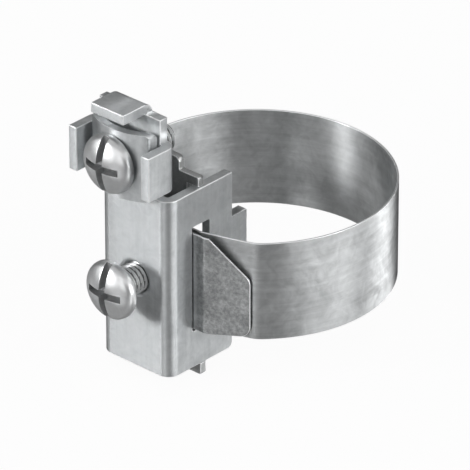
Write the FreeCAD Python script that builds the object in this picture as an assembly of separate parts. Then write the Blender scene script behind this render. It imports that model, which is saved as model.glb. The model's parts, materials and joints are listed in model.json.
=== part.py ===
"""Earthing pipe clamp: a stamped channel body that pulls a steel strap round a pipe, with a
conductor terminal above it.

The clamp is modelled on its body: X across the body from its middle, Y from the body's front
face towards the pipe, Z up from the body's lower edge.  The finished pieces are then moved so
that the origin is the middle of the strap loop and +Z runs along the pipe.
All sizes are millimetres.
"""
import FreeCAD
import Part
import math
import os

Vector = FreeCAD.Vector

# Sheet stock and its bends
SHEET = 2.0                # thickness of the body's sheet
BEND_INNER = 0.4           # inside radius of every bend in the body
RUNNING = 0.05             # gap between a screw and its thread, or a guide and what slides in it

# Channel of the body
BODY_WIDTH = 17.3
BODY_DEPTH = 17.1
BODY_HEIGHT = 36.6
LOWER_CORNER = 1.2         # rounding of the side walls' lower rear corners
TAB_REACH = 4.0            # how far the pipe rests stand behind the side walls
TAB_LOW = 9.3
TAB_HIGH = 27.5
TAB_CORNER = 0.5

# Strap
STRAP_WIDTH = 20.0
STRAP_THICK = 0.4
LOOP_RADIUS = 26.3         # outside of the strap, as delivered
LOOP_X = 2.2               # middle of the loop, from the body's middle
LOOP_EASE = 0.7            # how far the left slot lies outside the loop's circle
STRAP_LOW = 8.1            # lower edge of the strap above the body's lower edge
STRAP_BEND = 3.0           # radius where the strap leaves a slot
LEAD_ANGLE = 18.0          # how steeply the loop leaves the right slot
LEAD_JOIN = 5.0            # radius where that straight run meets the loop
LAYER_FRONT = 6.7          # middle of the free end's layer inside the body
LAYER_GAP = 0.9            # from the free end's layer to the fixed end's layer behind it
FIXED_END = 5.0            # how far the fixed end reaches past the body's middle

# Free end of the strap
FLAG_EXIT = 2.2            # straight run out of the slot
FLAG_ANGLE = 24.0          # bend of the free end
FLAG_LENGTH = 8.0          # length past that bend
FLAG_SLANT = 7.4           # height cut off the free end's upper corner
FLAG_RISE = 0.9            # height cut off its lower edge towards the tip
FLAG_CORNER = 2.2          # rounding of its corners

# Slots of the body, from the strap that runs through them
SLOT_FRONT_GAP = 0.2       # room in front of the strap
SLOT_REAR_GAP = 2.8        # travel behind the strap
SLOT_LOW_GAP = 0.5
SLOT_HIGH_GAP = 1.2
SLOT_CORNER = 0.4

# Pressure plate behind the strap
PLATE_THICK = 1.5
PLATE_STRAP_GAP = 0.2      # from the strap to the plate
PLATE_SIDE_GAP = 1.2       # from the plate to each side wall, inside the channel
EAR_HEIGHT = 1.95          # ears on top of the side walls
EAR_INSET = 0.4            # how far the upper ears stop short of the walls' outsides
FOOT_DEPTH = 2.4           # ears under the side walls
EAR_CORNER = 0.4
NECK_WIDTH = 7.0           # tongue that ends below the terminal screw
NECK_TOP = 41.1
NECK_CORNER = 1.2
NECK_FILLET = 0.3

# Terminal, drawn up from the body's front wall
TERMINAL_FORWARD = 0.85    # how far its back plate is set in front of that wall
WING_LOW = 40.0
WING_HIGH = 48.9
WING_REACH = 5.6           # how far the wings stand in front of the back plate
WING_SPREAD = 19.8         # over the outsides of the wings
SHOULDER_TOP = 53.7
SHOULDER_WIDTH = 15.0
ROOF_WIDTH = 8.0
ROOF_TOP = 55.7
ROOF_REACH = 5.9           # how far the roof stands in front of the back plate
LINK_WIDTH = 11.0          # strip between the channel and the terminal

# Threaded collars pressed into the sheet
COLLAR_WALL = 1.2
COLLAR_LENGTH = 1.6        # how far a collar stands behind the sheet
COLLAR_FUNNEL = 1.1        # radius of the pressed-in mouth

# Screws
THREAD_RADIUS = 2.95
HEAD_RADIUS = 5.75
HEAD_RIM = 0.7
HEAD_DOME = 2.8
HEAD_SHOULDER = 1.6        # radius where the dome meets the rim
HEAD_EDGE = 0.25           # chamfer round the head's underside
TIP_CHAMFER = 0.6
SLOT_WIDTH = 1.5           # slot right across the head
CROSS_WIDTH = 1.4          # shorter slot across it
CROSS_LENGTH = 7.8
DRIVE_DEPTH = 2.4          # depth of both slots below the top of the dome
TENSION_LENGTH = 11.7
TENSION_TIP_GAP = 0.1      # from the tension screw's tip to the strap
TENSION_HEIGHT = 18.3
TERMINAL_LENGTH = 14.3
TERMINAL_HEIGHT = 44.5
TERMINAL_HEAD_GAP = 0.05   # from the clamp plate's crown to the screw head

# Clamp plate of the terminal
SADDLE_THICK = 1.6
SADDLE_SIDE_GAP = 0.9      # from the clamp plate to each wing
SADDLE_LOW = 37.7
SADDLE_HIGH = 51.3
SADDLE_BOW = 12.0          # radius of its bowed front
SADDLE_LEG = 2.3           # depth of the turned ends, front corner to rear edge
SADDLE_REST = 0.2          # from the turned ends to the back plate
SADDLE_EDGE = 0.7          # rounding of the front corners
SADDLE_CORNER = 1.6        # rounding of the turned ends and of the outline

# What follows from the sizes above
HALF_WIDTH = BODY_WIDTH / 2
BEND_OUTER = BEND_INNER + SHEET
LAYER_REAR = LAYER_FRONT + STRAP_THICK + LAYER_GAP
LOOP_Y = LAYER_FRONT + STRAP_BEND + math.sqrt(
    (LOOP_RADIUS - STRAP_THICK / 2 - STRAP_BEND + LOOP_EASE) ** 2 - (HALF_WIDTH + LOOP_X) ** 2)
SLOT_FRONT = LAYER_FRONT - STRAP_THICK / 2 - SLOT_FRONT_GAP
SLOT_REAR = LAYER_REAR + STRAP_THICK / 2 + SLOT_REAR_GAP
SLOT_LOW = STRAP_LOW - SLOT_LOW_GAP
SLOT_HIGH = STRAP_LOW + STRAP_WIDTH + SLOT_HIGH_GAP
PLATE_FRONT = LAYER_REAR + STRAP_THICK / 2 + PLATE_STRAP_GAP
BORE_RADIUS = THREAD_RADIUS + RUNNING
COLLAR_RADIUS = BORE_RADIUS + COLLAR_WALL
HEAD_HEIGHT = HEAD_RIM + HEAD_DOME
TENSION_HEAD = LAYER_FRONT - STRAP_THICK / 2 - TENSION_TIP_GAP - TENSION_LENGTH
SADDLE_HALF = WING_SPREAD / 2 - SHEET - SADDLE_SIDE_GAP
SADDLE_REAR_Y = -TERMINAL_FORWARD - SADDLE_REST
SADDLE_CORNER_Y = SADDLE_REAR_Y - SADDLE_LEG
SADDLE_RISE = SADDLE_BOW - math.sqrt(SADDLE_BOW ** 2 - SADDLE_HALF ** 2)
SADDLE_CROWN_Y = SADDLE_CORNER_Y - SADDLE_RISE
TERMINAL_HEAD = SADDLE_CROWN_Y - TERMINAL_HEAD_GAP


def on_xy(x, y):
    """Place an outline's point on the horizontal plane."""
    return Vector(x, y, 0)


def on_xz(x, z):
    """Place an outline's point on the plane of the body's front face."""
    return Vector(x, 0, z)


def on_yz(y, z):
    """Place an outline's point on the body's middle plane."""
    return Vector(0, y, z)


def rounded_face(corners, place):
    """Face inside a closed outline of (u, v, corner radius), on the plane that place gives."""
    edges = []
    ends = []
    for index, (u, v, radius) in enumerate(corners):
        before = corners[index - 1]
        after = corners[(index + 1) % len(corners)]
        corner = Vector(u, v, 0)
        back = (Vector(before[0], before[1], 0) - corner).normalize()
        ahead = (Vector(after[0], after[1], 0) - corner).normalize()
        if radius <= 0:
            ends.append((corner, None, corner))
            continue
        half = back.getAngle(ahead) / 2
        reach = radius / math.tan(half)
        middle = (back + ahead).normalize()
        crown = corner + middle * (radius / math.sin(half) - radius)
        ends.append((corner + back * reach, crown, corner + ahead * reach))
    for index, (start, crown, finish) in enumerate(ends):
        if crown is not None:
            edges.append(Part.Arc(*[place(p.x, p.y) for p in (start, crown, finish)]).toShape())
        following = ends[(index + 1) % len(ends)][0]
        if finish.distanceToPoint(following) > 1e-6:
            line = Part.LineSegment(place(finish.x, finish.y), place(following.x, following.y))
            edges.append(line.toShape())
    return Part.Face(Part.Wire(edges))


def slab(corners, place, start, finish):
    """Solid from an outline, drawn square to its plane from start to finish."""
    face = rounded_face(corners, place)
    origin = place(0, 0)
    normal = (place(1, 0) - origin).cross(place(0, 1) - origin)
    if abs(normal.y) > 0.5:
        normal = Vector(0, 1, 0)
    face.translate(normal * start)
    return face.extrude(normal * (finish - start))


def box(x, y, z):
    """Block between the two values of each of x, y and z."""
    size = [high - low for low, high in (x, y, z)]
    return Part.makeBox(*size, Vector(x[0], y[0], z[0]))


def rod(radius, y_start, y_finish, height):
    """Round bar along Y through the body's middle plane."""
    return Part.makeCylinder(radius, y_finish - y_start, Vector(0, y_start, height), Vector(0, 1, 0))


def mirrored(shape):
    """The shape and its mirror image across the body's middle plane, as two solids."""
    return [shape, shape.mirror(Vector(0, 0, 0), Vector(1, 0, 0))]


def channel():
    """U-shaped channel, its slots and its pipe rests."""
    inside = HALF_WIDTH - SHEET
    walls = slab([(-HALF_WIDTH, 0, BEND_OUTER), (HALF_WIDTH, 0, BEND_OUTER),
                  (HALF_WIDTH, BODY_DEPTH, 0), (inside, BODY_DEPTH, 0),
                  (inside, SHEET, BEND_INNER), (-inside, SHEET, BEND_INNER),
                  (-inside, BODY_DEPTH, 0), (-HALF_WIDTH, BODY_DEPTH, 0)],
                 on_xy, 0, BODY_HEIGHT)
    side_view = slab([(0, 0, 0), (BODY_DEPTH, 0, LOWER_CORNER), (BODY_DEPTH, BODY_HEIGHT, 0),
                      (0, BODY_HEIGHT, 0)], on_yz, -BODY_WIDTH, BODY_WIDTH)
    walls = walls.common(side_view)
    tab = slab([(BODY_DEPTH - SHEET, TAB_LOW, 0), (BODY_DEPTH + TAB_REACH, TAB_LOW, TAB_CORNER),
                (BODY_DEPTH + TAB_REACH, TAB_HIGH, TAB_CORNER), (BODY_DEPTH - SHEET, TAB_HIGH, 0)],
               on_yz, inside, HALF_WIDTH)
    slots = slab([(SLOT_FRONT, SLOT_LOW, SLOT_CORNER), (SLOT_REAR, SLOT_LOW, SLOT_CORNER),
                  (SLOT_REAR, SLOT_HIGH, SLOT_CORNER), (SLOT_FRONT, SLOT_HIGH, SLOT_CORNER)],
                 on_yz, -BODY_WIDTH, BODY_WIDTH)
    return walls.fuse(mirrored(tab)).cut(slots)


def wing():
    """Right wing of the terminal, bent forward from the back plate."""
    outer = WING_SPREAD / 2
    inner = outer - SHEET
    face = -TERMINAL_FORWARD
    return slab([(0, face, 0), (inner, face, BEND_INNER), (inner, face - WING_REACH, 0),
                 (outer, face - WING_REACH, 0), (outer, face + SHEET, BEND_OUTER),
                 (0, face + SHEET, 0)],
                on_xy, WING_LOW, WING_HIGH)


def roof():
    """Roof of the terminal, bent forward from the back plate's top."""
    low = ROOF_TOP - SHEET
    face = -TERMINAL_FORWARD
    return slab([(face, WING_LOW, 0), (face + SHEET, WING_LOW, 0),
                 (face + SHEET, ROOF_TOP, BEND_OUTER), (face - ROOF_REACH, ROOF_TOP, 0),
                 (face - ROOF_REACH, low, 0), (face, low, BEND_INNER)],
                on_yz, -ROOF_WIDTH / 2, ROOF_WIDTH / 2)


def terminal_frame():
    """Back plate with wings and roof, on the cranked strip that joins it to the channel."""
    face = -TERMINAL_FORWARD
    back = box((-SHOULDER_WIDTH / 2, SHOULDER_WIDTH / 2), (face, face + SHEET),
               (WING_LOW, SHOULDER_TOP))
    link = slab([(0, BODY_HEIGHT - SHEET, 0), (SHEET, BODY_HEIGHT - SHEET, 0),
                 (SHEET, BODY_HEIGHT, BEND_INNER), (face + SHEET, WING_LOW, BEND_INNER),
                 (face + SHEET, WING_LOW + SHEET, 0), (face, WING_LOW + SHEET, 0),
                 (face, WING_LOW, BEND_INNER), (0, BODY_HEIGHT, BEND_INNER)],
                on_yz, -LINK_WIDTH / 2, LINK_WIDTH / 2)
    return back.fuse([link, roof()] + mirrored(wing()))


def collar(face, height):
    """Metal of a threaded collar, pressed in towards the pipe from a sheet's front face."""
    return rod(COLLAR_RADIUS, face + SHEET / 2, face + SHEET + COLLAR_LENGTH, height)


def collar_bore(face, height):
    """Opening of a threaded collar, with its rounded mouth at the front face."""
    mouth = BORE_RADIUS + COLLAR_FUNNEL
    side = Part.LineSegment(Vector(0, 0, 0), Vector(mouth, 0, 0)).toShape()
    middle = Vector(mouth, COLLAR_FUNNEL, 0)
    halfway = middle + Vector(-1, -1, 0).normalize() * COLLAR_FUNNEL
    curve = Part.Arc(Vector(mouth, 0, 0), halfway, Vector(BORE_RADIUS, COLLAR_FUNNEL, 0)).toShape()
    depth = SHEET + COLLAR_LENGTH
    wall = Part.LineSegment(Vector(BORE_RADIUS, COLLAR_FUNNEL, 0), Vector(BORE_RADIUS, depth, 0))
    end = Part.LineSegment(Vector(BORE_RADIUS, depth, 0), Vector(0, depth, 0)).toShape()
    axis = Part.LineSegment(Vector(0, depth, 0), Vector(0, 0, 0)).toShape()
    section = Part.Face(Part.Wire([side, curve, wall.toShape(), end, axis]))
    bore = section.revolve(Vector(0, 0, 0), Vector(0, 1, 0), 360)
    bore.translate(Vector(0, face, height))
    return bore


def clamp_body():
    """The one stamped and bent sheet that holds both screws."""
    places = ((0, TENSION_HEIGHT), (-TERMINAL_FORWARD, TERMINAL_HEIGHT))
    sheet = channel().fuse([terminal_frame()] + [collar(*place) for place in places])
    for place in places:
        sheet = sheet.cut(collar_bore(*place))
    return sheet.removeSplitter()


def pressure_plate():
    """Plate behind the strap, its ears on and under the body's side walls."""
    across = HALF_WIDTH - EAR_INSET
    inside = HALF_WIDTH - SHEET - PLATE_SIDE_GAP
    foot = HALF_WIDTH
    neck = NECK_WIDTH / 2
    over = BODY_HEIGHT + RUNNING
    under = -RUNNING
    right = [(foot, under - FOOT_DEPTH, EAR_CORNER), (foot, under, 0), (inside, under, 0),
             (inside, over, 0), (across, over, 0), (across, over + EAR_HEIGHT, EAR_CORNER),
             (neck, over + EAR_HEIGHT, NECK_FILLET), (neck, NECK_TOP, NECK_CORNER)]
    left = [(-x, z, radius) for x, z, radius in reversed(right)]
    return slab(right + left, on_xz, PLATE_FRONT, PLATE_FRONT + PLATE_THICK)


def ribbon(start, moves, thickness, width):
    """Upright ribbon that follows moves from start, heading along +X at first.

    A move is ("run", length) or ("turn", radius, degrees), and every turn is to the left.
    """
    here = Vector(start)
    heading = 0.0
    sides = ([], [])
    ends = []
    for move in moves:
        ahead = Vector(math.cos(heading), math.sin(heading), 0)
        left = Vector(-ahead.y, ahead.x, 0)
        offsets = (left * (thickness / 2), left * (-thickness / 2))
        if not ends:
            ends.append([here + offset for offset in offsets])
        if move[0] == "run":
            following = here + ahead * move[1]
            for side, offset in zip(sides, offsets):
                side.append(Part.LineSegment(here + offset, following + offset).toShape())
        else:
            radius = move[1]
            sweep = math.radians(move[2])
            centre = here + left * radius
            for side, sign in zip(sides, (-1, 1)):
                bow = radius + sign * thickness / 2
                spokes = [Vector(math.sin(heading + part * sweep), -math.cos(heading + part * sweep), 0)
                          for part in (0, 0.5, 1)]
                side.append(Part.Arc(*[centre + spoke * bow for spoke in spokes]).toShape())
            heading += sweep
            following = centre + Vector(math.sin(heading), -math.cos(heading), 0) * radius
        here = following
    left = Vector(-math.sin(heading), math.cos(heading), 0)
    ends.append([here + left * (thickness / 2), here - left * (thickness / 2)])
    caps = [Part.LineSegment(*pair).toShape() for pair in ends]
    outline = Part.Wire(Part.__sortEdges__(sides[0] + sides[1] + caps))
    return Part.Face(outline).extrude(Vector(0, 0, width)), here, heading


def loop_moves():
    """The strap's course: fixed end, right slot, loop, left slot, free end."""
    radius = LOOP_RADIUS - STRAP_THICK / 2
    middle = Vector(LOOP_X, LOOP_Y, 0)
    lead = math.radians(LEAD_ANGLE)
    ahead = Vector(math.cos(lead), math.sin(lead), 0)
    left = Vector(-ahead.y, ahead.x, 0)
    bend_end = Vector(HALF_WIDTH, LAYER_REAR + STRAP_BEND, 0) - left * STRAP_BEND
    reach = middle - (bend_end + left * LEAD_JOIN)
    along = reach.dot(ahead)
    lead_run = along + math.sqrt(along ** 2 - reach.dot(reach) + (radius - LEAD_JOIN) ** 2)
    join_middle = bend_end + left * LEAD_JOIN + ahead * lead_run
    spoke = join_middle - middle
    join_heading = math.degrees(math.atan2(spoke.x, -spoke.y))
    bend_middle = Vector(-HALF_WIDTH, LAYER_FRONT + STRAP_BEND, 0)
    spoke = bend_middle - middle
    straight = math.sqrt(spoke.dot(spoke) - (radius - STRAP_BEND) ** 2)
    entry = math.degrees(math.atan2(-spoke.x, -spoke.y) + math.atan2(straight, radius - STRAP_BEND))
    return [("run", HALF_WIDTH + FIXED_END),
            ("turn", STRAP_BEND, LEAD_ANGLE),
            ("run", lead_run),
            ("turn", LEAD_JOIN, join_heading - LEAD_ANGLE),
            ("turn", radius, 360 - entry - join_heading),
            ("run", straight),
            ("turn", STRAP_BEND, entry),
            ("run", BODY_WIDTH + FLAG_EXIT),
            ("turn", STRAP_BEND, FLAG_ANGLE),
            ("run", FLAG_LENGTH)]


def strap():
    """One steel ribbon, with the upper corner of its free end cut at a slant."""
    start = Vector(-FIXED_END, LAYER_REAR, 0)
    band, tip, heading = ribbon(start, loop_moves(), STRAP_THICK, STRAP_WIDTH)
    past = FLAG_LENGTH / 2
    depth = STRAP_THICK / 2 + RUNNING
    tongue = slab([(-FLAG_LENGTH, 0, 0), (0, FLAG_RISE, FLAG_CORNER),
                   (0, STRAP_WIDTH - FLAG_SLANT, FLAG_CORNER), (-FLAG_LENGTH, STRAP_WIDTH, 0)],
                  on_xz, -depth, depth)
    zone = box((-FLAG_LENGTH, past), (-depth, depth), (-past, STRAP_WIDTH + past))
    waste = zone.cut(tongue)
    waste.rotate(Vector(0, 0, 0), Vector(0, 0, 1), math.degrees(heading))
    waste.translate(tip)
    band = band.cut(waste)
    band.translate(Vector(0, 0, STRAP_LOW))
    return band


def screw(length):
    """Pan-head screw along +Y from the underside of its head, with a slot and a cross slot."""
    top = -HEAD_HEIGHT
    across = HEAD_RADIUS - HEAD_SHOULDER
    dome = (across ** 2 + HEAD_DOME ** 2 - HEAD_SHOULDER ** 2) / (2 * (HEAD_DOME - HEAD_SHOULDER))
    reach = math.asin(across / (dome - HEAD_SHOULDER))
    edges = []
    for middle, radius, start, finish in (
            (Vector(0, top + dome, 0), dome, 0, reach),
            (Vector(across, -HEAD_RIM, 0), HEAD_SHOULDER, reach, math.pi / 2)):
        spokes = [Vector(math.sin(turn), -math.cos(turn), 0)
                  for turn in (start, (start + finish) / 2, finish)]
        edges.append(Part.Arc(*[middle + spoke * radius for spoke in spokes]).toShape())
    core = THREAD_RADIUS - TIP_CHAMFER
    corners = [(HEAD_RADIUS, -HEAD_RIM), (HEAD_RADIUS, -HEAD_EDGE), (HEAD_RADIUS - HEAD_EDGE, 0),
               (THREAD_RADIUS, 0), (THREAD_RADIUS, length - TIP_CHAMFER),
               (core, length), (0, length), (0, top)]
    for start, finish in zip(corners, corners[1:]):
        edges.append(Part.LineSegment(Vector(*start, 0), Vector(*finish, 0)).toShape())
    body = Part.Face(Part.Wire(edges)).revolve(Vector(0, 0, 0), Vector(0, 1, 0), 360)
    depth = (top - SHEET, top + DRIVE_DEPTH)
    slot = box((-SLOT_WIDTH / 2, SLOT_WIDTH / 2), depth, (-HEAD_RADIUS, HEAD_RADIUS))
    cross = box((-CROSS_LENGTH / 2, CROSS_LENGTH / 2), depth, (-CROSS_WIDTH / 2, CROSS_WIDTH / 2))
    return body.cut(slot.fuse(cross)).removeSplitter()


def tension_screw():
    """Screw through the body's front wall that presses on the strap and its plate."""
    piece = screw(TENSION_LENGTH)
    piece.translate(Vector(0, TENSION_HEAD, TENSION_HEIGHT))
    return piece


def terminal_screw():
    """Screw that draws the terminal's clamp plate onto the conductor."""
    piece = screw(TERMINAL_LENGTH)
    piece.translate(Vector(0, TERMINAL_HEAD, TERMINAL_HEIGHT))
    return piece


def bowed_block(bow, half, crown_y, edge, rear):
    """Upright block with a bowed front, crown_y at its middle, and side faces at half."""
    rise = bow - math.sqrt(bow ** 2 - half ** 2)
    barrel = Part.makeCylinder(bow, SADDLE_HIGH - SADDLE_LOW, Vector(0, crown_y + bow, SADDLE_LOW))
    sides = slab([(-half, crown_y, 0), (half, crown_y, 0), (half, rear, 0), (-half, rear, 0)],
                 on_xy, SADDLE_LOW, SADDLE_HIGH)
    block = barrel.common(sides)
    fronts = [e for e in block.Edges
              if abs(e.BoundBox.YMax - (crown_y + rise)) < 1e-3 and e.BoundBox.ZLength > edge]
    return block.makeFillet(edge, fronts)


def terminal_clamp():
    """Bowed plate between the wings, with its two ends turned back."""
    rear = SADDLE_REAR_Y
    outer = bowed_block(SADDLE_BOW, SADDLE_HALF, SADDLE_CROWN_Y, SADDLE_EDGE, rear)
    inner = bowed_block(SADDLE_BOW - SADDLE_THICK, SADDLE_HALF - SADDLE_THICK,
                        SADDLE_CROWN_Y + SADDLE_THICK, SADDLE_EDGE / 2, rear)
    front_view = slab([(x * SADDLE_HALF, z, SADDLE_CORNER / 2) for x, z in
                       ((-1, SADDLE_LOW), (1, SADDLE_LOW), (1, SADDLE_HIGH), (-1, SADDLE_HIGH))],
                      on_xz, SADDLE_CROWN_Y, 0)
    side_view = slab([(SADDLE_CROWN_Y, SADDLE_LOW, 0), (rear, SADDLE_LOW, SADDLE_CORNER),
                      (rear, SADDLE_HIGH, SADDLE_CORNER), (SADDLE_CROWN_Y, SADDLE_HIGH, 0)],
                     on_yz, -SADDLE_HALF, SADDLE_HALF)
    plate = outer.cut(inner).common(front_view).common(side_view)
    return plate.cut(rod(BORE_RADIUS, SADDLE_CROWN_Y - SHEET, 0, TERMINAL_HEIGHT))


def main():
    """Build every piece, move it to the loop's frame and write it."""
    pieces = {"clamp_body": clamp_body(), "pressure_plate": pressure_plate(), "strap": strap(),
              "tension_screw": tension_screw(), "terminal_screw": terminal_screw(),
              "terminal_clamp": terminal_clamp()}
    to_loop = Vector(-LOOP_X, -LOOP_Y, -STRAP_LOW - STRAP_WIDTH / 2)
    os.makedirs("parts", exist_ok=True)
    for name, piece in pieces.items():
        piece.translate(to_loop)
        solids = piece.Solids
        if len(solids) != 1 or not piece.isValid():
            raise RuntimeError(f"{name}: {len(solids)} solids, valid {piece.isValid()}")
        solids[0].exportStep(f"parts/{name}.step")
        size = solids[0].optimalBoundingBox(False)
        print(f"{name}: {solids[0].Volume:.1f} mm3,"
              f" {size.XLength:.2f} x {size.YLength:.2f} x {size.ZLength:.2f} mm")


main()
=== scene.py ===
"""Looks of the earthing pipe clamp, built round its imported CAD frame.

Lengths in the tables of the camera, the pieces and the studio are millimetres, and MM turns them
into metres.  Those of the finishes are metres.  The origin is the middle of the strap's loop, +Z
runs along the pipe and +Y points from the screws towards the pipe.
"""

import json
import math

import bmesh
import bpy
import numpy as np
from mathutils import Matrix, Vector

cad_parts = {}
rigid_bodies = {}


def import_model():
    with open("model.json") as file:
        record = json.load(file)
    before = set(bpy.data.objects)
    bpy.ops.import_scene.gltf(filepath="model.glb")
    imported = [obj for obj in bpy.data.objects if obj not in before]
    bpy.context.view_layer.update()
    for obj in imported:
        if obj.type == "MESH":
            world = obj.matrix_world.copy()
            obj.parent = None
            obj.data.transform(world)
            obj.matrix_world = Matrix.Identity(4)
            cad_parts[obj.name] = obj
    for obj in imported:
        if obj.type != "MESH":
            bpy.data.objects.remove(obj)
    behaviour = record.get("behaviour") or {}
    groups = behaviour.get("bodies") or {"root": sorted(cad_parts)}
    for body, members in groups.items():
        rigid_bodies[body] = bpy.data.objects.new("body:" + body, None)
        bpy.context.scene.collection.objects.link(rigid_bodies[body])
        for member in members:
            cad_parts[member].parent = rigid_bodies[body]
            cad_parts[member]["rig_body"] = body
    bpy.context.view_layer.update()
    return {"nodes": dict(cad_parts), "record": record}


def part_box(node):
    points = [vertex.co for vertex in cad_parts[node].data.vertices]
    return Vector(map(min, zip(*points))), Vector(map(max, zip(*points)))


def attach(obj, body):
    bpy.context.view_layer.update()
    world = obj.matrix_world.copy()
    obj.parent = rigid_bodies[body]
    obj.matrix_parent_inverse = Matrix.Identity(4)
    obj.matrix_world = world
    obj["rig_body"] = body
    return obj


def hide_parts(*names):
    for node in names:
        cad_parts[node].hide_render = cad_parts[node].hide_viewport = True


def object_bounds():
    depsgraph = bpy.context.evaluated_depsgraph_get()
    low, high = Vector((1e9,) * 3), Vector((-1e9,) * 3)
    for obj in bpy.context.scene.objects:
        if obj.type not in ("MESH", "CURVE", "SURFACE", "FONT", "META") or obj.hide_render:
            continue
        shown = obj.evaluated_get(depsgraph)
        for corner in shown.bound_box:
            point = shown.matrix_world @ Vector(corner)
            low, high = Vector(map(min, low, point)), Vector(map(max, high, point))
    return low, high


MM = 0.001

# Camera, as fitted to the photograph
CAMERA_TARGET = (6.59, -13.23, 5.18)
CAMERA_AZIMUTH = 42.3946
CAMERA_ELEVATION = 28.9383
CAMERA_DISTANCE = 1125.2
CAMERA_LENS = 470.29
CAMERA_SENSOR = 36.0
CAMERA_NEAREST = 50.0
CAMERA_FURTHEST = 50000.0

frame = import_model()


def add_object(name, data):
    """Link a new object to the scene."""
    made = bpy.data.objects.new(name, data)
    bpy.context.scene.collection.objects.link(made)
    return made


def direction(azimuth, elevation):
    """Unit vector from the object towards azimuth and elevation, in degrees."""
    a = math.radians(azimuth)
    e = math.radians(elevation)
    return Vector((math.sin(a) * math.cos(e), -math.cos(a) * math.cos(e), math.sin(e)))


def add_camera():
    """Camera at the photograph's viewing angle."""
    data = bpy.data.cameras.new("camera")
    data.lens = CAMERA_LENS
    data.sensor_width = CAMERA_SENSOR
    data.clip_start = CAMERA_NEAREST * MM
    data.clip_end = CAMERA_FURTHEST * MM
    camera = add_object("camera", data)
    back = direction(CAMERA_AZIMUTH, CAMERA_ELEVATION)
    camera.location = (Vector(CAMERA_TARGET) + back * CAMERA_DISTANCE) * MM
    camera.rotation_euler = back.to_track_quat("Z", "Y").to_euler()
    bpy.context.scene.camera = camera


# Materials

class Nodes:
    """Short hand for building one node tree."""

    def __init__(self, tree):
        self.tree = tree
        self.tree.nodes.clear()

    def add(self, kind, inputs=(), **settings):
        """New node with its settings, its inputs set to numbers or joined to other sockets."""
        node = self.tree.nodes.new(kind)
        for name, value in settings.items():
            setattr(node, name, value)
        for name, value in dict(inputs).items():
            self.put(node.inputs[name], value)
        return node

    def put(self, socket, value):
        """Join the socket to another, or set its number."""
        if isinstance(value, bpy.types.NodeSocket):
            self.tree.links.new(value, socket)
        else:
            socket.default_value = value

    def noise(self, where, scale, detail, roughness, distortion=0.0):
        """Fractal noise with features of about 1 / scale metres."""
        node = self.add("ShaderNodeTexNoise", {
            "Vector": where, "Scale": scale, "Detail": detail, "Roughness": roughness,
            "Distortion": distortion})
        return node.outputs["Fac"]

    def band(self, value, low, high, to_low, to_high, smooth=True):
        """Map value from low..high to to_low..to_high."""
        node = self.add("ShaderNodeMapRange", {
            "Value": value, "From Min": low, "From Max": high, "To Min": to_low,
            "To Max": to_high})
        node.interpolation_type = "SMOOTHSTEP" if smooth else "LINEAR"
        return node.outputs["Result"]

    def math(self, operation, first, second=0.0):
        """One arithmetic step."""
        node = self.add("ShaderNodeMath", operation=operation)
        self.put(node.inputs[0], first)
        self.put(node.inputs[1], second)
        return node.outputs["Value"]

    def along(self, where, towards):
        """How far a place lies in a direction."""
        node = self.add("ShaderNodeVectorMath", operation="DOT_PRODUCT")
        self.put(node.inputs[0], where)
        self.put(node.inputs[1], towards)
        return node.outputs["Value"]

    def ramp(self, value, stops):
        """Colour ramp of (position, colour) stops, of which the first two are its ends."""
        node = self.add("ShaderNodeValToRGB", {"Fac": value})
        elements = node.color_ramp.elements
        for index, (position, colour) in enumerate(stops):
            element = elements[index] if index < 2 else elements.new(position)
            element.position = position
            element.color = (*colour, 1.0)
        return node.outputs["Color"]

    def stretched(self, scale):
        """Object coordinates, scaled along each axis."""
        place = self.add("ShaderNodeTexCoord").outputs["Object"]
        return self.add("ShaderNodeMapping", {"Vector": place, "Scale": scale}).outputs["Vector"]


# Bloom: clouds and finer patches add up, and this part of their range goes from dark to light
BLOOM_LOW = 0.3
BLOOM_HIGH = 0.7
CLOUD_SHARE = 0.65
PATCH_SHARE = 0.35
PATCHES_PER_CLOUD = 2.7
STREAK_SHARE = 0.35

# Grain: features per metre of its noise, and how the bump adds grain and bloom
GRAIN_SCALE = 3500.0
GRAIN_RELIEF = 0.35
BLOOM_RELIEF = 1.2
BUMP_STRENGTH = 0.3
ROLLED_UPRIGHT = 0.25       # a quarter turn lays the smeared gloss along Z

# Speckle of the strap's free end: features per metre, the noise's range, and what it changes; its
# darkening of that end is partly the speckle seen on it and partly painted shade
SPECKLE_SCALE = 1500.0
SPECKLE_LOW = 0.4
SPECKLE_HIGH = 0.68
SPECKLE_SHADE = 0.4
SPECKLE_ROUGHER = 0.10
SPECKLE_FADE = 0.0003
FLAG_SIDE = direction(24.0, 0.0)
FLAG_DISTANCE = 0.0254


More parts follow.
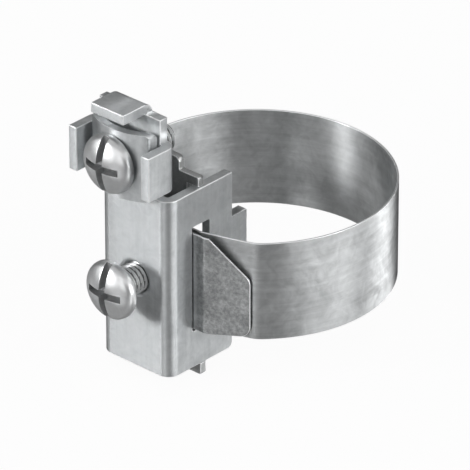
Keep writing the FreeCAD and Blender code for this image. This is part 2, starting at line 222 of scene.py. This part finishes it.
def zinc(name, dark, light, cloud, rough, grain, metal, streak=None, rolled=0.0,
         uneven=0.06, speckle=None):
    """Zinc-coated steel: a cloudy bloom, fine grain, worn streaks and a soft satin gloss.

    dark and light are the colours of the bloom, cloud its size in metres, rough the range of
    roughness, grain the height of the fine bump in metres and metal the share of bare metal.
    streak scales the streaks' noise along each axis.  rolled, from 0 to 1, spreads the gloss of
    rolled sheet up and down.  uneven is how much the gloss changes from grain to grain.
    speckle, a direction and a distance, gives a matt speckle further out than that, which also
    darkens that end overall: partly its own speckle, partly painted shade.
    """
    material = bpy.data.materials.new(name)
    material.use_nodes = True
    n = Nodes(material.node_tree)
    plain = n.stretched((1.0, 1.0, 1.0))
    clouds = n.noise(plain, 1 / cloud, detail=5.0, roughness=0.6, distortion=0.8)
    patches = n.noise(plain, PATCHES_PER_CLOUD / cloud, detail=3.0, roughness=0.5,
                      distortion=1.6)
    mix = n.math("ADD", n.math("MULTIPLY", clouds, CLOUD_SHARE),
                 n.math("MULTIPLY", patches, PATCH_SHARE))
    if streak:
        lines = n.noise(n.stretched(streak), 1.0, detail=4.0, roughness=0.6)
        mix = n.math("ADD", mix, n.math("MULTIPLY", n.math("SUBTRACT", lines, 0.5), STREAK_SHARE))
    middle = [(a + b) / 2 for a, b in zip(dark, light)]
    colour = n.ramp(mix, [(BLOOM_LOW, dark), (BLOOM_HIGH, light), (0.5, middle)])
    fine = n.noise(plain, GRAIN_SCALE, detail=2.0, roughness=0.6)
    gloss = n.math("ADD", n.band(mix, BLOOM_LOW, BLOOM_HIGH, rough[1], rough[0]),
                   n.math("MULTIPLY", n.math("SUBTRACT", fine, 0.5), uneven))
    if speckle:
        # the strap's free end is darkened by the speckle: partly its own speckle, partly painted
        # shade
        towards, distance = speckle
        free_end = n.band(n.along(plain, towards), distance - SPECKLE_FADE, distance, 0.0, 1.0)
        dots = n.band(n.noise(plain, SPECKLE_SCALE, detail=4.0, roughness=0.7),
                      SPECKLE_LOW, SPECKLE_HIGH, 0.0, 1.0, smooth=False)
        shade = n.math("MULTIPLY", free_end, n.math("SUBTRACT", dots, 1.0))
        shaded = n.add("ShaderNodeVectorMath", operation="SCALE")
        n.put(shaded.inputs[0], colour)
        n.put(shaded.inputs["Scale"],
              n.math("ADD", n.math("MULTIPLY", shade, SPECKLE_SHADE), 1.0))
        colour = shaded.outputs["Vector"]
        gloss = n.math("ADD", gloss, n.math("MULTIPLY", free_end, SPECKLE_ROUGHER))
    height = n.math("ADD", n.math("MULTIPLY", fine, GRAIN_RELIEF),
                    n.math("MULTIPLY", mix, BLOOM_RELIEF))
    bump = n.add("ShaderNodeBump", {
        "Height": height, "Strength": BUMP_STRENGTH, "Distance": grain})
    shader = n.add("ShaderNodeBsdfPrincipled", {
        "Base Color": colour, "Metallic": metal, "Roughness": gloss,
        "Normal": bump.outputs["Normal"]})
    if rolled:
        around = n.add("ShaderNodeTangent", direction_type="RADIAL", axis="Z")
        n.put(shader.inputs["Tangent"], around.outputs["Tangent"])
        shader.inputs["Anisotropic"].default_value = rolled
        shader.inputs["Anisotropic Rotation"].default_value = ROLLED_UPRIGHT
    n.add("ShaderNodeOutputMaterial", {"Surface": shader.outputs["BSDF"]})
    return material


def add_materials():
    """The record's four finishes, with a painted highlight for the bevelled edges and painted
    shade for the drive slots and thread roots.
    """
    return {
        "body_sheet": zinc(
            "zinc_sheet", dark=(0.50, 0.52, 0.53), light=(0.72, 0.74, 0.75), cloud=0.006,
            rough=(0.34, 0.44), grain=0.000015, metal=0.87, streak=(900.0, 900.0, 60.0),
            rolled=0.93),
        "plate_steel": zinc(
            "zinc_plate", dark=(0.36, 0.37, 0.37), light=(0.56, 0.57, 0.57), cloud=0.004,
            rough=(0.34, 0.44), grain=0.00002, metal=0.9, rolled=0.8),
        "strap_steel": zinc(
            "dipped_strap", dark=(0.40, 0.41, 0.415), light=(0.70, 0.715, 0.72), cloud=0.0075,
            rough=(0.38, 0.47), grain=0.00002, metal=0.95, streak=(60.0, 60.0, 1200.0),
            rolled=0.9, speckle=(FLAG_SIDE, FLAG_DISTANCE)),
        "screw_steel": zinc(
            "bright_zinc", dark=(0.64, 0.65, 0.66), light=(0.82, 0.83, 0.83), cloud=0.005,
            rough=(0.31, 0.36), grain=0.000002, metal=0.85, uneven=0.0),
        # painted shade: a dark finish deep in the thread's grooves
        "root_painted_shade": zinc(
            "root_shade_paint", dark=(0.10, 0.10, 0.105), light=(0.16, 0.16, 0.165), cloud=0.002,
            rough=(0.45, 0.55), grain=0.00001, metal=0.4),
        # painted highlight: a pale finish on the bevel faces, so that edges show thin bright
        # lines
        "edge": zinc(
            "edge_highlight_paint", dark=(0.88, 0.89, 0.90), light=(0.95, 0.96, 0.97), cloud=0.002,
            rough=(0.30, 0.36), grain=0.000005, metal=0.75, uneven=0.0),
        # painted shade: a darker finish in the screws' drive slots
        "slot_painted_shade": zinc(
            "slot_shade_paint", dark=(0.30, 0.305, 0.31), light=(0.42, 0.425, 0.43), cloud=0.002,
            rough=(0.45, 0.55), grain=0.00002, metal=0.6)}


# Pieces

BEVELS = {"clamp_body": 0.17, "pressure_plate": 0.15, "strap": 0.15, "tension_screw": 0.07,
          "terminal_screw": 0.07, "terminal_clamp": 0.16}
WELD = 0.001                # corners nearer than this are one
SHARP = math.radians(28.0)  # edges sharper than this get a bevel
FLAT = math.radians(1.0)    # faces that differ by less become one
BEVEL_SEGMENTS = 2
LARGE_FACES_LEAD = 100      # weight of a face's area in the shading normals

# Thread of the screws, M6 x 1
THREAD_MAJOR = 2.95
THREAD_MINOR = 2.42
PITCH = 1.0
CREST_FLAT = 0.125          # of the pitch
ROOT_FLAT = 0.25            # of the pitch
THREAD_TURN = 72            # points round the thread
THREAD_STEPS = 12           # points along one turn of it
ROOT_DEPTH = 0.15           # part of the groove with painted shade, from its bottom
RUN_OUT = 0.35              # plain neck under the head
RUN_OUT_SLOPE = 2.0         # how fast the thread grows out of the neck
TIP_CHAMFER = 0.6
THREAD_START = 0.1          # how far the thread's end reaches up into the head

# Head of the screws: a rim and a dome, with the drive slots cut into the dome
HEAD_RADIUS = 5.75
HEAD_RIM = 0.7
HEAD_DOME = 2.8
HEAD_HEIGHT = HEAD_RIM + HEAD_DOME
SLOT_MARGIN = 0.35          # the slots end this far inside the head's radius
SLOT_DEPTH = 0.45           # a face this far below the dome is in a slot
SLOT_STEEP = 0.35           # so is one whose normal has less than this along the axis
SLOT_ABOVE = 0.05           # but not one this close to the head's underside
HEAD_SLACK = 0.02           # tolerances where the plain shank is cut off
SHANK_SLACK = 0.05
# finishes of a screw: its steel, painted shade in the drive slots and painted shade in the
# thread's grooves
SCREW_PARTS = ("screw_steel", "slot_painted_shade", "root_painted_shade")


def thread_radius(y, phase, length):
    """Radius of the thread at y along the screw, where phase is y less the turn's share."""
    crest = CREST_FLAT / 2
    root = 0.5 - ROOT_FLAT / 2
    offset = np.abs((phase / PITCH) % 1.0 - 0.5)
    share = np.clip((offset - crest) / (root - crest), 0.0, 1.0)
    radius = THREAD_MAJOR - share * (THREAD_MAJOR - THREAD_MINOR)
    tip = THREAD_MAJOR - np.clip(y - (length - TIP_CHAMFER), 0.0, TIP_CHAMFER)
    neck = THREAD_MINOR + np.clip(y - RUN_OUT, 0.0, 1.0) * RUN_OUT_SLOPE
    return np.minimum(np.minimum(radius, tip), np.maximum(neck, THREAD_MINOR))


def add_thread(mesh, axis_x, axis_z, start, length):
    """Right-hand thread along +Y, closed at both ends, added to the bmesh."""
    rows = int(round(length / PITCH * THREAD_STEPS)) + 1
    y, turn = np.meshgrid(np.linspace(0.0, length, rows),
                          np.arange(THREAD_TURN) / THREAD_TURN, indexing="ij")
    radius = thread_radius(y, y - turn * PITCH, length)
    angle = turn * 2 * math.pi
    points = np.stack([axis_x + radius * np.sin(angle), start + y,
                       axis_z + radius * np.cos(angle)], axis=-1) * MM
    grid = [[mesh.verts.new(point) for point in row] for row in points]
    for near, far in zip(grid, grid[1:]):
        for i in range(THREAD_TURN):
            j = (i + 1) % THREAD_TURN
            mesh.faces.new((near[i], near[j], far[j], far[i]))
    mesh.faces.new(grid[0][::-1])
    mesh.faces.new(grid[-1])


def evaluated(piece):
    """The piece's mesh with its modifiers applied."""
    graph = bpy.context.evaluated_depsgraph_get()
    return bpy.data.meshes.new_from_object(piece.evaluated_get(graph))


def off_axis(place, axis_x, axis_z):
    """Distance of a place from a screw's axis, in millimetres."""
    return math.hypot(place.x / MM - axis_x, place.z / MM - axis_z)


def in_drive_slot(face, axis_x, axis_z, under):
    """Whether a face of a screw's head is a wall or the floor of its drive slots."""
    radius = off_axis(face.center, axis_x, axis_z)
    height = under - face.center.y / MM
    dome = HEAD_RIM + HEAD_DOME * (1.0 - (radius / HEAD_RADIUS) ** 2)
    if radius > HEAD_RADIUS - SLOT_MARGIN or height < SLOT_ABOVE:
        return False
    return abs(face.normal.y) < SLOT_STEEP or height < dome - SLOT_DEPTH


def in_thread_root(face, axis_x, axis_z, under):
    """Whether a face of a screw lies at the bottom of the thread's groove."""
    radius = off_axis(face.center, axis_x, axis_z)
    return face.center.y / MM > under + RUN_OUT and radius < THREAD_MINOR + ROOT_DEPTH


def copy_head(name, axis_x, axis_z, under):
    """A new mesh of the CAD screw's head, closed where its shank was."""
    mesh = bmesh.new()
    mesh.from_mesh(frame["nodes"][name].data)
    bmesh.ops.remove_doubles(mesh, verts=mesh.verts, dist=WELD * MM)
    shank = [v for v in mesh.verts if v.co.y / MM > under + HEAD_SLACK
             and off_axis(v.co, axis_x, axis_z) < THREAD_MAJOR + SHANK_SLACK]
    bmesh.ops.delete(mesh, geom=shank, context="VERTS")
    bmesh.ops.contextual_create(mesh, geom=[e for e in mesh.edges if e.is_boundary])
    bmesh.ops.recalc_face_normals(mesh, faces=mesh.faces)
    head = bpy.data.meshes.new(name + "_head")
    mesh.to_mesh(head)
    mesh.free()
    return head


def add_screw(name, materials, bevel):
    """The CAD screw's head with a cut thread in place of its plain shank."""
    low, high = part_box(name)
    axis_x = (low.x + high.x) / 2 / MM
    axis_z = (low.z + high.z) / 2 / MM
    under = low.y / MM + HEAD_HEIGHT
    piece = add_object(name + "_threaded", copy_head(name, axis_x, axis_z, under))
    soften(piece, bevel)
    piece.modifiers.remove(piece.modifiers["even"])
    whole = evaluated(piece)
    piece.modifiers.clear()
    piece.data = whole
    whole.materials.clear()
    for material in materials:
        whole.materials.append(material)
    # faces in the drive slots take the painted shade
    for face in whole.polygons:
        face.material_index = int(in_drive_slot(face, axis_x, axis_z, under))
    mesh = bmesh.new()
    mesh.from_mesh(whole)
    add_thread(mesh, axis_x, axis_z, under - THREAD_START, high.y / MM - under + THREAD_START)
    bmesh.ops.recalc_face_normals(mesh, faces=mesh.faces)
    mesh.to_mesh(whole)
    mesh.free()
    for face in whole.polygons:
        face.use_smooth = True
        # faces deep in the groove take the painted shade
        if in_thread_root(face, axis_x, axis_z, under):
            face.material_index = SCREW_PARTS.index("root_painted_shade")
    even = piece.modifiers.new("even", "WEIGHTED_NORMAL")
    even.weight = LARGE_FACES_LEAD
    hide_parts(name)
    return piece


def add_marking(name, weigh):
    """Node group that shades a piece smooth and, with weigh, marks its sharp outer edges.

    The mark is the weight that a bevel limited by weight looks for.  It is made in a live
    modifier, because a CAD node's own mesh is never changed.
    """
    tree = bpy.data.node_groups.new(name, "GeometryNodeTree")
    for side in ("INPUT", "OUTPUT"):
        tree.interface.new_socket("Geometry", in_out=side, socket_type="NodeSocketGeometry")
    n = Nodes(tree)
    shape = n.add("GeometryNodeSetShadeSmooth", {
        "Geometry": n.add("NodeGroupInput").outputs["Geometry"]}).outputs["Geometry"]
    if weigh:
        angle = n.add("GeometryNodeInputMeshEdgeAngle").outputs["Signed Angle"]
        outer = n.add("FunctionNodeCompare", {"A": angle, "B": SHARP}, data_type="FLOAT",
                      operation="GREATER_THAN").outputs["Result"]
        shape = n.add("GeometryNodeStoreNamedAttribute", {
            "Geometry": shape, "Name": "bevel_weight_edge", "Value": outer},
            data_type="FLOAT", domain="EDGE").outputs["Geometry"]
    n.add("NodeGroupOutput", {"Geometry": shape})
    return tree


def soften(piece, width, edge_slot=-1, by_weight=False):
    """Weld the CAD mesh, join its flat faces and give its sharp edges a small real bevel.

    by_weight bevels the marked edges alone and doesn't clamp the bevel, because the short edges
    of the body's arcs would hold a clamped one back everywhere.
    """
    weld = piece.modifiers.new("weld", "WELD")
    weld.merge_threshold = WELD * MM
    mark = piece.modifiers.new("mark", "NODES")
    mark.node_group = markings[by_weight]
    flat = piece.modifiers.new("flat", "DECIMATE")
    flat.decimate_type = "DISSOLVE"
    flat.angle_limit = FLAT
    bevel = piece.modifiers.new("bevel", "BEVEL")
    bevel.width = width * MM
    bevel.segments = BEVEL_SEGMENTS
    bevel.limit_method = "WEIGHT" if by_weight else "ANGLE"
    bevel.angle_limit = SHARP
    bevel.use_clamp_overlap = not by_weight
    # the bevel's own faces take the painted edge highlight when edge_slot is set
    bevel.material = edge_slot
    even = piece.modifiers.new("even", "WEIGHTED_NORMAL")
    even.keep_sharp = False
    even.weight = LARGE_FACES_LEAD


# Studio: each panel is azimuth, elevation, the half angles of its full and faded parts, strength
PANELS = ((-32.0, 16.0, 4.0, 9.0, 24.0),
          (-50.0, 8.0, 2.0, 18.0, 1.0),
          (-16.0, 8.0, 2.0, 18.0, 2.2),
          (18.0, 10.0, 4.0, 20.0, 1.7),
          (98.0, 8.0, 4.0, 20.0, 3.7),
          (114.0, 8.0, 4.0, 18.0, 3.7),
          (-50.0, 40.0, 2.0, 9.0, 4.0),
          (-20.0, 36.0, 2.0, 16.0, 0.3),
          (10.0, 36.0, 2.0, 16.0, 1.2),
          (40.0, 36.0, 2.0, 16.0, 0.9),
          (65.0, 36.0, 2.0, 16.0, 1.2),
          (90.0, 36.0, 2.0, 16.0, 0.8),
          (115.0, 36.0, 2.0, 16.0, 0.9),
          (141.0, 32.0, 2.0, 7.0, 7.0),
          (-135.0, 38.0, 10.0, 35.0, 0.3),
          (0.0, 90.0, 20.0, 50.0, 0.48),
          (-112.0, -27.0, 4.0, 22.0, 0.25),
          (-72.0, -27.0, 2.0, 18.0, 0.5),
          (-42.0, -27.0, 2.0, 20.0, 0.12),
          (2.0, -27.0, 2.0, 18.0, 1.1),
          (50.0, -27.0, 6.0, 26.0, 0.2),
          (82.0, -27.0, 2.0, 20.0, 1.6),
          (130.0, -27.0, 2.0, 20.0, 1.1),
          (164.0, -27.0, 2.0, 22.0, 3.0),
          (-60.0, -62.0, 12.0, 36.0, 0.2),
          (60.0, -60.0, 12.0, 40.0, 0.2))
STUDIO_LEVEL = 0.08
KEY_AZIMUTH = 30.0
KEY_ELEVATION = 36.0
KEY_DISTANCE = 500.0
KEY_SIZE = 60.0
KEY_ENERGY = 0.05           # watts
FLOOR_REACH = 3000.0
FLOOR_COLOUR = (0.93, 0.93, 0.93, 1.0)
FLOOR_WHITE = 0.95          # share of plain white in what the camera sees of it
WHITE = (1.0, 1.0, 1.0, 1.0)


def add_world():
    """White world for the camera, with soft studio panels for the light and reflections."""
    world = bpy.data.worlds.new("studio")
    bpy.context.scene.world = world
    world.use_nodes = True
    n = Nodes(world.node_tree)
    camera_ray = n.add("ShaderNodeLightPath").outputs["Is Camera Ray"]
    towards = n.add("ShaderNodeTexCoord").outputs["Generated"]
    level = STUDIO_LEVEL
    for azimuth, elevation, full, faded, strength in PANELS:
        panel = n.band(n.along(towards, direction(azimuth, elevation)),
                       math.cos(math.radians(faded)), math.cos(math.radians(full)),
                       0.0, strength)
        level = n.math("ADD", panel, level)
    strength = n.math("MAXIMUM", camera_ray, level)
    light = n.add("ShaderNodeBackground", {"Color": WHITE, "Strength": strength})
    n.add("ShaderNodeOutputWorld", {"Surface": light.outputs["Background"]})


def add_key():
    """One weak lamp from the front."""
    lamp = bpy.data.lights.new("key", "AREA")
    lamp.shape = "SQUARE"
    lamp.size = KEY_SIZE * MM
    lamp.energy = KEY_ENERGY
    key = add_object("key", lamp)
    back = direction(KEY_AZIMUTH, KEY_ELEVATION)
    key.location = back * KEY_DISTANCE * MM
    key.rotation_euler = back.to_track_quat("Z", "Y").to_euler()


def add_floor():
    """Pale floor under the part, which isn't seen in its reflections."""
    mesh = bpy.data.meshes.new("floor")
    reach = FLOOR_REACH * MM
    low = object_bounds()[0].z
    mesh.from_pydata([(-reach, -reach, low), (reach, -reach, low), (reach, reach, low),
                      (-reach, reach, low)], [], [(0, 1, 2, 3)])
    floor = add_object("floor", mesh)
    material = bpy.data.materials.new("pale_floor")
    material.use_nodes = True
    n = Nodes(material.node_tree)
    path = n.add("ShaderNodeLightPath").outputs
    shown = n.math("MAXIMUM", path["Is Camera Ray"],
                   n.math("MAXIMUM", path["Is Glossy Ray"], path["Is Transmission Ray"]))
    matt = n.add("ShaderNodeBsdfDiffuse", {"Color": FLOOR_COLOUR})
    glow = n.add("ShaderNodeEmission", {"Color": WHITE, "Strength": 1.0})
    blend = n.add("ShaderNodeMixShader", {"Fac": n.math("MULTIPLY", shown, FLOOR_WHITE)})
    n.put(blend.inputs[1], matt.outputs["BSDF"])
    n.put(blend.inputs[2], glow.outputs["Emission"])
    n.add("ShaderNodeOutputMaterial", {"Surface": blend.outputs["Shader"]})
    mesh.materials.append(material)
    floor.visible_glossy = False


bpy.context.scene.view_settings.view_transform = "Standard"
add_camera()
finishes = add_materials()
screw_finishes = [finishes[part] for part in SCREW_PARTS]
markings = {False: add_marking("smooth", False), True: add_marking("smooth_and_weighed", True)}
slots = {entry["node"]: entry["material_slot"] for entry in frame["record"]["subparts"]}
for name, node in frame["nodes"].items():
    if slots[name] == "screw_steel":
        body = node["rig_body"]
        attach(add_screw(name, screw_finishes, BEVELS[name]), body)
        continue
    node.data.materials.clear()
    node.data.materials.append(finishes[slots[name]])
    # second slot: the painted highlight on the bevel faces
    node.data.materials.append(finishes["edge"])
    soften(node, BEVELS[name], edge_slot=1, by_weight=name == "clamp_body")
add_world()
add_key()
add_floor()
